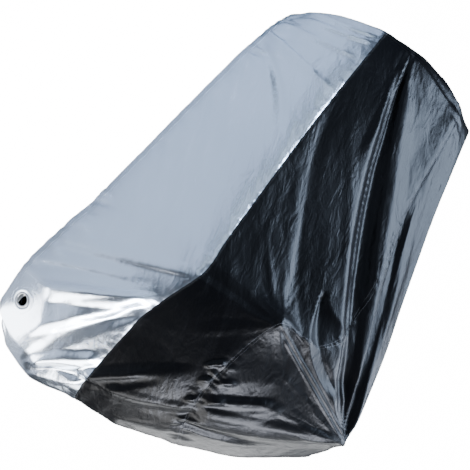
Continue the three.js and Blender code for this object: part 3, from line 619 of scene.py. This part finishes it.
def weave_group():
    """Plain weave over the piece's own UV map, whose unit is a metre."""
    name = "Plain weave"
    if name in bpy.data.node_groups:
        return bpy.data.node_groups[name]
    tree, given, put = node_group(name, {"Thread": 0.0012}, ("Height",))
    parts = add_node(tree, "SeparateXYZ", {0: given["Vector"]})
    waves = []
    for axis in ("X", "Y"):
        turns = math_node(tree, "DIVIDE", parts.outputs[axis], given["Thread"])
        waves.append(math_node(tree, "SINE", math_node(tree, "MULTIPLY", turns, math.pi)))
    set_inputs(tree, put, {"Height": math_node(tree, "MULTIPLY", *waves)})
    return tree


def blank_material(name):
    """A new material with its node tree, its shader and the sockets of its coordinates."""
    material = bpy.data.materials.new(name)
    material.use_nodes = True
    tree = material.node_tree
    return material, tree, tree.nodes["Principled BSDF"], add_node(tree, "TexCoord").outputs


def fabric(name, colour, roughness, crinkle, metallic=0.0, ior=1.5, variation=0.12):
    """Coated cloth with its crinkle, weave and uneven gloss."""
    if name in bpy.data.materials:
        return bpy.data.materials[name]
    material, tree, shader, place = blank_material(name)
    creases = add_node(tree, "Group", {"Vector": place["Object"]}, node_tree=crinkle_group()).outputs
    weave = add_node(tree, "Group", {"Vector": place["UV"]}, node_tree=weave_group()).outputs
    dark = (*[c * (1 - variation) for c in colour], 1)
    pale = (*[min(c * (1 + variation), 1) for c in colour], 1)
    colours = add_node(tree, "Mix", {0: creases["Patches"], 6: dark, 7: pale}, data_type="RGBA")
    threads = bump_node(tree, weave["Height"], 0.12, 0.0002)
    inputs = {
        "Base Color": colours.outputs[2],
        "Metallic": metallic,
        "IOR": ior,
        "Roughness": ramp_node(tree, creases["Patches"], 0.3, 0.7, roughness - 0.03, roughness + 0.04),
        "Normal": bump_node(tree, creases["Height"], crinkle, 0.006, Normal=threads),
    }
    set_inputs(tree, shader, inputs)
    return material


def metal(name, colour, roughness):
    """Plated metal with faint rubbing marks."""
    if name in bpy.data.materials:
        return bpy.data.materials[name]
    material, tree, shader, place = blank_material(name)
    marks = add_node(tree, "TexNoise", {"Vector": place["Object"], "Scale": 260, "Detail": 3}).outputs[0]
    gloss = ramp_node(tree, marks, low=roughness - 0.08, high=roughness + 0.12)
    set_inputs(tree, shader, {"Base Color": (*colour, 1), "Metallic": 1, "Roughness": gloss})
    return material


def thread(name, colour):
    """Twisted sewing thread."""
    if name in bpy.data.materials:
        return bpy.data.materials[name]
    material, tree, shader, place = blank_material(name)
    twist = add_node(tree, "TexWave", {"Vector": place["Object"], "Scale": 700}).outputs[1]
    bump = bump_node(tree, twist, 0.3, 0.0003)
    inputs = {"Base Color": (*colour, 1), "Roughness": 0.7, "Sheen Weight": 0.2, "Normal": bump}
    set_inputs(tree, shader, inputs)
    return material


class CoverCloth(bpy.types.PropertyGroup):
    """Sizes and colours of the cloth."""

    thickness: bpy.props.FloatProperty(
        name="Thickness", description="Thickness of the cloth", default=0.002, min=0.0005, unit="LENGTH"
    )
    crown_rows: bpy.props.IntProperty(name="Crown rows", description="Rows down the crown", default=52, min=4)
    band_rows: bpy.props.IntProperty(name="Band rows", description="Rows down the band", default=64, min=4)
    skirt_rows: bpy.props.IntProperty(name="Skirt rows", description="Rows down the skirt", default=62, min=4)
    deck_rows: bpy.props.IntProperty(name="Deck rows", description="Rows across the top", default=20, min=2)
    black: bpy.props.FloatVectorProperty(
        name="Black",
        description="Colour of the crown and the side band",
        subtype="COLOR",
        default=(0.0006, 0.00065, 0.0009),
    )
    silver: bpy.props.FloatVectorProperty(
        name="Silver", description="Colour of the skirt", subtype="COLOR", default=(0.74, 0.81, 0.91)
    )
    stitch: bpy.props.FloatProperty(
        name="Stitch", description="Length of a stitch and its gap", default=0.0055, min=0.002, unit="LENGTH"
    )


class CoverEyelet(bpy.types.PropertyGroup):
    """Sizes of the eyelets and their patches."""

    hole: bpy.props.FloatProperty(
        name="Hole", description="Radius of the hole", default=0.0215, min=0.005, unit="LENGTH"
    )
    rim: bpy.props.FloatProperty(
        name="Rim", description="Outer radius of the ring", default=0.032, min=0.01, unit="LENGTH"
    )
    patch: bpy.props.FloatProperty(
        name="Patch", description="Radius of the cloth patch", default=0.054, min=0.03, unit="LENGTH"
    )
    colour: bpy.props.FloatVectorProperty(
        name="Metal", description="Colour of the rings", subtype="COLOR", default=(0.3, 0.31, 0.33)
    )


class CoverStage(bpy.types.PropertyGroup):
    """Camera and lights."""

    azimuth: bpy.props.FloatProperty(
        name="Azimuth", description="Camera's turn to the front", default=math.radians(15), subtype="ANGLE"
    )
    elevation: bpy.props.FloatProperty(
        name="Elevation", description="Camera's angle above level", default=math.radians(5), subtype="ANGLE"
    )
    roll: bpy.props.FloatProperty(
        name="Roll", description="Turn of the picture", default=math.radians(133), subtype="ANGLE"
    )
    distance: bpy.props.FloatProperty(
        name="Distance", description="Camera to aim point", default=5.13, unit="LENGTH"
    )
    lens: bpy.props.FloatProperty(name="Lens", description="Focal length in millimetres", default=95.75)
    sky: bpy.props.FloatProperty(name="Sky", description="Power from above the tail", default=900.0)
    top: bpy.props.FloatProperty(name="Top", description="Power from straight above", default=570.0)
    brow: bpy.props.FloatProperty(name="Brow", description="Power high in front", default=540.0)
    key: bpy.props.FloatProperty(name="Key", description="Power from the front", default=152.0)
    low: bpy.props.FloatProperty(name="Low", description="Power off the ground", default=5.0)
    back: bpy.props.FloatProperty(name="Back", description="Power on the far side", default=150.0)
    side: bpy.props.FloatProperty(name="Side", description="Power beside the camera", default=18.0)
    dome: bpy.props.FloatProperty(name="Dome", description="Strength of the light all round", default=0.7)


# Camera: the point it looks at, in metres, and the width of its sensor in millimetres.
AIM = (0.0775, 0, 0.4814)
SENSOR_WIDTH = 36

# Lights: name, place, aim and size in metres, the setting with its power, and colour.
LIGHTS = [
    ("Sky", (-2.9, -1.9, 2.9), (-0.3, 0, 0.8), (3.4, 2.4), "sky", (0.61, 0.76, 1.0)),
    ("Top", (-0.8, -0.6, 3.9), (-0.1, 0, 0.7), (3.4, 1.8), "top", (0.72, 0.82, 1.0)),
    ("Brow", (2.75, -1.2, 2.95), (0.7, -0.2, 1.0), (1.9, 1.9), "brow", (0.84, 0.88, 1.0)),
    ("Front", (3.2, -0.7, 1.15), (0.8, -0.2, 0.35), (2.0, 2.0), "key", (1.0, 1.0, 1.0)),
    ("Ground", (1.25, -0.17, 0.012), (1.25, -0.17, 1.0), (0.5, 0.4), "low", (1.0, 1.0, 1.0)),
    ("Back", (2.8, 2.9, 2.6), (0.5, 0, 0.8), (3.2, 2.6), "back", (0.96, 0.98, 1.0)),
    ("Side", (-2.2, -4.6, 0.4), (-0.4, 0, 0.3), (5.2, 1.0), "side", (0.72, 0.85, 1.0)),
]

# Brightness of the backdrop and the floor to the camera. The floor is a disc that fades out between two radii.
# The spot of it that the eyelet's hole looks on to isn't brightened: a painted shadow, as if cast by the
# cover. Metres.
BACKDROP = 16.0
FLOOR_RADIUS = 3.6
FLOOR_FADE = (1.6, 3.2)
PAINTED_SHADOW_SPOT = (0.845, 0.226, 0)
PAINTED_SHADOW_EDGE = (0.045, 0.055)


def area_light(name, place, aim, size, energy, colour):
    """A rectangular light, not seen itself, that faces its aim."""
    light = bpy.data.lights.new(name, "AREA")
    light.shape = "RECTANGLE"
    light.size, light.size_y = size
    light.energy = energy
    light.color = colour
    lamp = bpy.data.objects.new(name, light)
    lamp.location = place
    lamp.visible_camera = False
    lamp.rotation_euler = (Vector(aim) - Vector(place)).to_track_quat("-Z", "Y").to_euler()
    bpy.context.scene.collection.objects.link(lamp)


class BuildStage(bpy.types.Operator):
    """Camera, lights and floor."""

    bl_idname = "cover.stage"
    bl_label = "Stage"

    def execute(self, context):
        stage = context.scene.cover_stage
        azimuth, elevation = stage.azimuth, stage.elevation
        level = math.cos(elevation)
        back = Vector((math.sin(azimuth) * level, -math.cos(azimuth) * level, math.sin(elevation)))
        data = bpy.data.cameras.new("Camera")
        data.lens = stage.lens
        data.sensor_width = SENSOR_WIDTH
        camera = bpy.data.objects.new("Camera", data)
        turn = (-back).to_track_quat("-Z", "Y").to_matrix() @ Matrix.Rotation(stage.roll, 3, "Z")
        camera.matrix_world = Matrix.Translation(Vector(AIM) + back * stage.distance) @ turn.to_4x4()
        context.scene.collection.objects.link(camera)
        context.scene.camera = camera

        for name, place, aim, size, setting, colour in LIGHTS:
            area_light(name, place, aim, size, getattr(stage, setting), colour)
        context.scene.world = soft_room(stage.dome)

        bm = bmesh.new()
        bmesh.ops.create_circle(bm, cap_ends=True, segments=TURN_STEPS, radius=FLOOR_RADIUS)
        mesh = bpy.data.meshes.new("floor")
        bm.to_mesh(mesh)
        bm.free()
        floor = bpy.data.objects.new("floor", mesh)
        context.scene.collection.objects.link(floor)
        floor.data.materials.append(floor_material())
        return {"FINISHED"}


def soft_room(dome):
    """Bluish light that grows from the horizon upwards, and a white backdrop for the camera alone."""
    world = bpy.data.worlds.new("Soft room")
    world.use_nodes = True
    tree = world.node_tree
    place = add_node(tree, "TexCoord").outputs["Generated"]
    up = add_node(tree, "SeparateXYZ", {0: place}).outputs["Z"]
    strength = ramp_node(tree, up, 0.02, 0.9, 0.03, dome, "SMOOTHSTEP")
    light = tree.nodes["Background"]
    set_inputs(tree, light, {"Color": (0.72, 0.84, 1.0, 1), "Strength": strength})
    backdrop = add_node(tree, "Background", {"Color": (1, 1, 1, 1), "Strength": BACKDROP})
    rays = add_node(tree, "LightPath").outputs["Is Camera Ray"]
    mix = add_node(tree, "MixShader", {0: rays, 1: light.outputs[0], 2: backdrop.outputs[0]})
    set_inputs(tree, tree.nodes["World Output"], {0: mix.outputs[0]})
    return world


def floor_material():
    """Floor as bright as the backdrop to the camera, but for its spot of painted shadow, that fades out round
    its edge.
    """
    material, tree, shader, place = blank_material("Pale floor")
    # The spot that the eyelet's hole looks on to gets no glow: a painted shadow, as if cast by the cover.
    gap = add_node(tree, "VectorMath", {0: place["Object"], 1: PAINTED_SHADOW_SPOT}, operation="DISTANCE")
    outside = ramp_node(tree, gap.outputs["Value"], *PAINTED_SHADOW_EDGE, kind="SMOOTHSTEP")
    rays = add_node(tree, "LightPath").outputs["Is Camera Ray"]
    seen = math_node(tree, "MULTIPLY", rays, outside)
    away = add_node(tree, "VectorMath", {0: place["Object"]}, operation="LENGTH")
    inputs = {
        "Base Color": (0.085, 0.09, 0.096, 1),
        "Roughness": 0.9,
        "Emission Color": (1, 1, 1, 1),
        "Emission Strength": math_node(tree, "MULTIPLY", seen, BACKDROP),
        "Alpha": ramp_node(tree, away.outputs["Value"], *FLOOR_FADE, 1, 0, "SMOOTHSTEP"),
    }
    set_inputs(tree, shader, inputs)
    return material


def black_cloth(context):
    """The crown's and the side band's cloth, with its soft gloss."""
    colour = tuple(context.scene.cover_cloth.black)
    return fabric("Black coated cloth", colour, 0.34, 0.8, ior=1.22)


def silver_cloth(context):
    """The skirt's and the patches' cloth, with its metallic coat."""
    colour = tuple(context.scene.cover_cloth.silver)
    return fabric("Silver coated cloth", colour, 0.215, 0.4, metallic=1.0, variation=0.04)


CLOTHS = {"black_cloth": black_cloth, "silver_cloth": silver_cloth}


def finish_cloth(piece, context, node, slot):
    """Gives a sheet its cloth and thickness, and hides the part it stands for."""
    piece.data.materials.append(CLOTHS[slot](context))
    modifier = piece.modifiers.new("Sheet", "SOLIDIFY")
    modifier.thickness = context.scene.cover_cloth.thickness
    modifier.offset = -1
    modifier.use_rim = True
    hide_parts(node)


# Mesh steps round what is turned and round the floor, points round the ring's section and half its thickness,
# half the patch's thickness, how much wider its hole is, and how much wider than the ring the skirt's cut is.
# Metres.
TURN_STEPS = 96
RING_POINTS = 16
RING_HALF = 0.0027
PATCH_HALF = 0.0014
PATCH_CLEARANCE = 0.0018
CUT_PAST_RIM = 0.004

# The patch's edge from below to above: metres in from its outline, and height in half thicknesses. The dip is
# where it is sewn down.
PATCH_EDGE = [(0.001, -1), (0, -0.5), (0, 0.5), (0.001, 1), (0.004, 1), (0.0055, 0.55), (0.007, 1)]


class BuildCrown(bpy.types.Operator):
    """The black top piece, from the nose over the high front point to the tail."""

    bl_idname = "cover.crown"
    bl_label = "Crown"

    def execute(self, context):
        cloth = context.scene.cover_cloth
        u = column_places()
        bm = bmesh.new()
        grid_into(bm, u, np.linspace(0, 1, cloth.crown_rows + 1), surface)

        def deck(station, share):
            near = surface(station, np.zeros(station.shape))
            far = surface(ROUND - station, np.zeros(station.shape))
            points = near + (far - near) * share[..., None]
            wide = np.linalg.norm(far - near, axis=-1) * 1000
            points[..., 2] -= DECK_SAG * 4 * share * (1 - share) * smooth(*DECK_WIDTHS, wide) / 1000
            return points

        shares = np.linspace(0, 1, cloth.deck_rows + 1)
        grid_into(bm, u[: len(u) // 2 + 1], shares, lambda a, b: deck(a, 1 - b))
        bmesh.ops.remove_doubles(bm, verts=bm.verts, dist=SAME_POINT)
        bmesh.ops.dissolve_degenerate(bm, edges=bm.edges, dist=SAME_POINT)
        piece = new_object("crown_cloth", bm)
        finish_cloth(piece, context, "crown", "black_cloth")
        return {"FINISHED"}


class BuildSideBand(bpy.types.Operator):
    """The black piece between the puckered upper seam and the colour seam."""

    bl_idname = "cover.side_band"
    bl_label = "Side band"

    def execute(self, context):
        piece = new_object("side_band_cloth", cloth_between(1, 2, context.scene.cover_cloth.band_rows))
        finish_cloth(piece, context, "side_band", "black_cloth")
        return {"FINISHED"}


class BuildSkirt(bpy.types.Operator):
    """The silver skirt, with a round cut behind each eyelet's patch."""

    bl_idname = "cover.skirt"
    bl_label = "Skirt"

    def execute(self, context):
        bm = cloth_between(2, HEM_LEVEL, context.scene.cover_cloth.skirt_rows)
        cut = context.scene.cover_eyelet.rim + CUT_PAST_RIM
        for middle, _ in EYELETS.values():
            behind = [face for face in bm.faces if (face.calc_center_median() - Vector(middle)).length < cut]
            bmesh.ops.delete(bm, geom=behind, context="FACES")
        piece = new_object("skirt_cloth", bm)
        finish_cloth(piece, context, "skirt", "silver_cloth")
        return {"FINISHED"}


def turned_ring(profile, middle, axis):
    """A closed profile of (radius, height) in metres, spun round an eyelet's axis."""
    bm = bmesh.new()
    start = [bm.verts.new((radius, 0, height)) for radius, height in profile]
    edges = [bm.edges.new((start[i], start[(i + 1) % len(start)])) for i in range(len(start))]
    bmesh.ops.spin(bm, geom=start + edges, axis=(0, 0, 1), angle=2 * math.pi, steps=TURN_STEPS, use_merge=True)
    bmesh.ops.remove_doubles(bm, verts=bm.verts, dist=SAME_POINT / 2)
    bmesh.ops.recalc_face_normals(bm, faces=bm.faces)
    turn = Vector((0, 0, 1)).rotation_difference(Vector(axis)).to_matrix().to_4x4()
    bmesh.ops.transform(bm, matrix=Matrix.Translation(Vector(middle)) @ turn, verts=bm.verts)
    return bm


class BuildEyelets(bpy.types.Operator):
    """The metal rings and the doubled patches that hold them."""

    bl_idname = "cover.eyelets"
    bl_label = "Eyelets"

    def execute(self, context):
        sizes = context.scene.cover_eyelet
        rounds = np.linspace(0, 2 * math.pi, RING_POINTS, endpoint=False)
        wide = (sizes.rim - sizes.hole) / 2
        ring = [(sizes.hole + wide + wide * math.cos(a), RING_HALF * math.sin(a)) for a in rounds]
        inner = sizes.hole + PATCH_CLEARANCE
        edge = [(sizes.patch - inset, PATCH_HALF * high) for inset, high in PATCH_EDGE]
        doubled = [(inner, -PATCH_HALF), *edge, (inner, PATCH_HALF)]
        for side, (middle, axis) in EYELETS.items():
            piece = new_object(f"ring_{side}", turned_ring(ring, middle, axis))
            piece.data.materials.append(metal("Eyelet metal", tuple(sizes.colour), 0.28))
            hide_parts(f"eyelet_ring_{side}")

            patch = new_object(f"patch_{side}", turned_ring(doubled, middle, axis))
            patch.data.materials.append(silver_cloth(context))
            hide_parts(f"eyelet_patch_{side}")
        return {"FINISHED"}


# Sewn lines: name, level of the seam, how far below it in millimetres, and thread.
STITCH_LINES = [
    ("upper_seam_top", 1, -5, "black"),
    ("upper_seam_low", 1, 6, "black"),
    ("colour_seam", 2, -6, "black"),
    ("hem", 4, -24, "silver"),
]
THREAD_COLOURS = {"black": (0.016, 0.017, 0.02), "silver": (0.42, 0.46, 0.52)}

# Thread, in millimetres: half its width, its height on a stitch and in the hole between two, and how much its
# sides fall. Then the mesh steps along a stitch and the points across the thread.
THREAD_HALF = 0.45
THREAD_HIGH = 0.9
THREAD_DEEP = -0.5
THREAD_SIDES = 0.5
STITCH_STEPS = 4
THREAD_POINTS = 4


def thread_line(level, below, station, share):
    """Points of a row of stitches, for arrays of stations and of places across the thread from -1 to 1."""
    above, under = spans(level, station)
    drop = below + THREAD_HALF * share
    v = level + np.where(drop < 0, drop / above, drop / np.maximum(under, 1))
    in_hole = np.arange(station.shape[1]) % STITCH_STEPS == 0
    lift = np.where(in_hole, THREAD_DEEP, THREAD_HIGH)[None, :] - THREAD_SIDES * share**2
    return surface(station, v, raised=lift)


class BuildStitches(bpy.types.Operator):
    """Rows of stitches along the seams and the hem."""

    bl_idname = "cover.stitches"
    bl_label = "Stitches"

    def execute(self, context):
        stitch = context.scene.cover_cloth.stitch
        across = np.linspace(-1, 1, THREAD_POINTS)
        for name, level, below, colour in STITCH_LINES:
            length = ARCS[level][-1]
            steps = int(length / 1000 / stitch) * STITCH_STEPS
            u = np.interp(np.linspace(0, length, steps + 1), ARCS[level], STATION)
            bm = bmesh.new()
            grid_into(bm, u, across, partial(thread_line, level, below))
            bmesh.ops.remove_doubles(bm, verts=bm.verts, dist=SAME_POINT)
            piece = new_object(f"stitches_{name}", bm)
            piece.data.materials.append(thread(f"{colour.capitalize()} thread", THREAD_COLOURS[colour]))
        return {"FINISHED"}


class CoverPanel(bpy.types.Panel):
    """Lists the cover's pieces and settings."""

    bl_idname = "VIEW3D_PT_cover"
    bl_label = "Motorcycle cover"
    bl_space_type = "VIEW_3D"
    bl_region_type = "UI"
    bl_category = "Cover"

    def draw(self, context):
        layout = self.layout
        for group in (context.scene.cover_cloth, context.scene.cover_eyelet, context.scene.cover_stage):
            box = layout.box()
            for name in group.bl_rna.properties.keys():
                if name not in ("rna_type", "name"):
                    box.prop(group, name)
        for operator in OPERATORS:
            layout.operator(operator.bl_idname)


OPERATORS = (BuildStage, BuildCrown, BuildSideBand, BuildSkirt, BuildEyelets, BuildStitches)
GROUPS = (CoverCloth, CoverEyelet, CoverStage)


def register():
    for item in (*GROUPS, *OPERATORS, CoverPanel):
        bpy.utils.register_class(item)
    bpy.types.Scene.cover_cloth = bpy.props.PointerProperty(type=CoverCloth)
    bpy.types.Scene.cover_eyelet = bpy.props.PointerProperty(type=CoverEyelet)
    bpy.types.Scene.cover_stage = bpy.props.PointerProperty(type=CoverStage)


def unregister():
    del bpy.types.Scene.cover_stage
    del bpy.types.Scene.cover_eyelet
    del bpy.types.Scene.cover_cloth
    for item in reversed((*GROUPS, *OPERATORS, CoverPanel)):
        bpy.utils.unregister_class(item)


def main():
    register()
    bpy.ops.cover.stage()
    bpy.ops.cover.crown()
    bpy.ops.cover.side_band()
    bpy.ops.cover.skirt()
    bpy.ops.cover.eyelets()
    bpy.ops.cover.stitches()


if __name__ == "__main__":
    main()
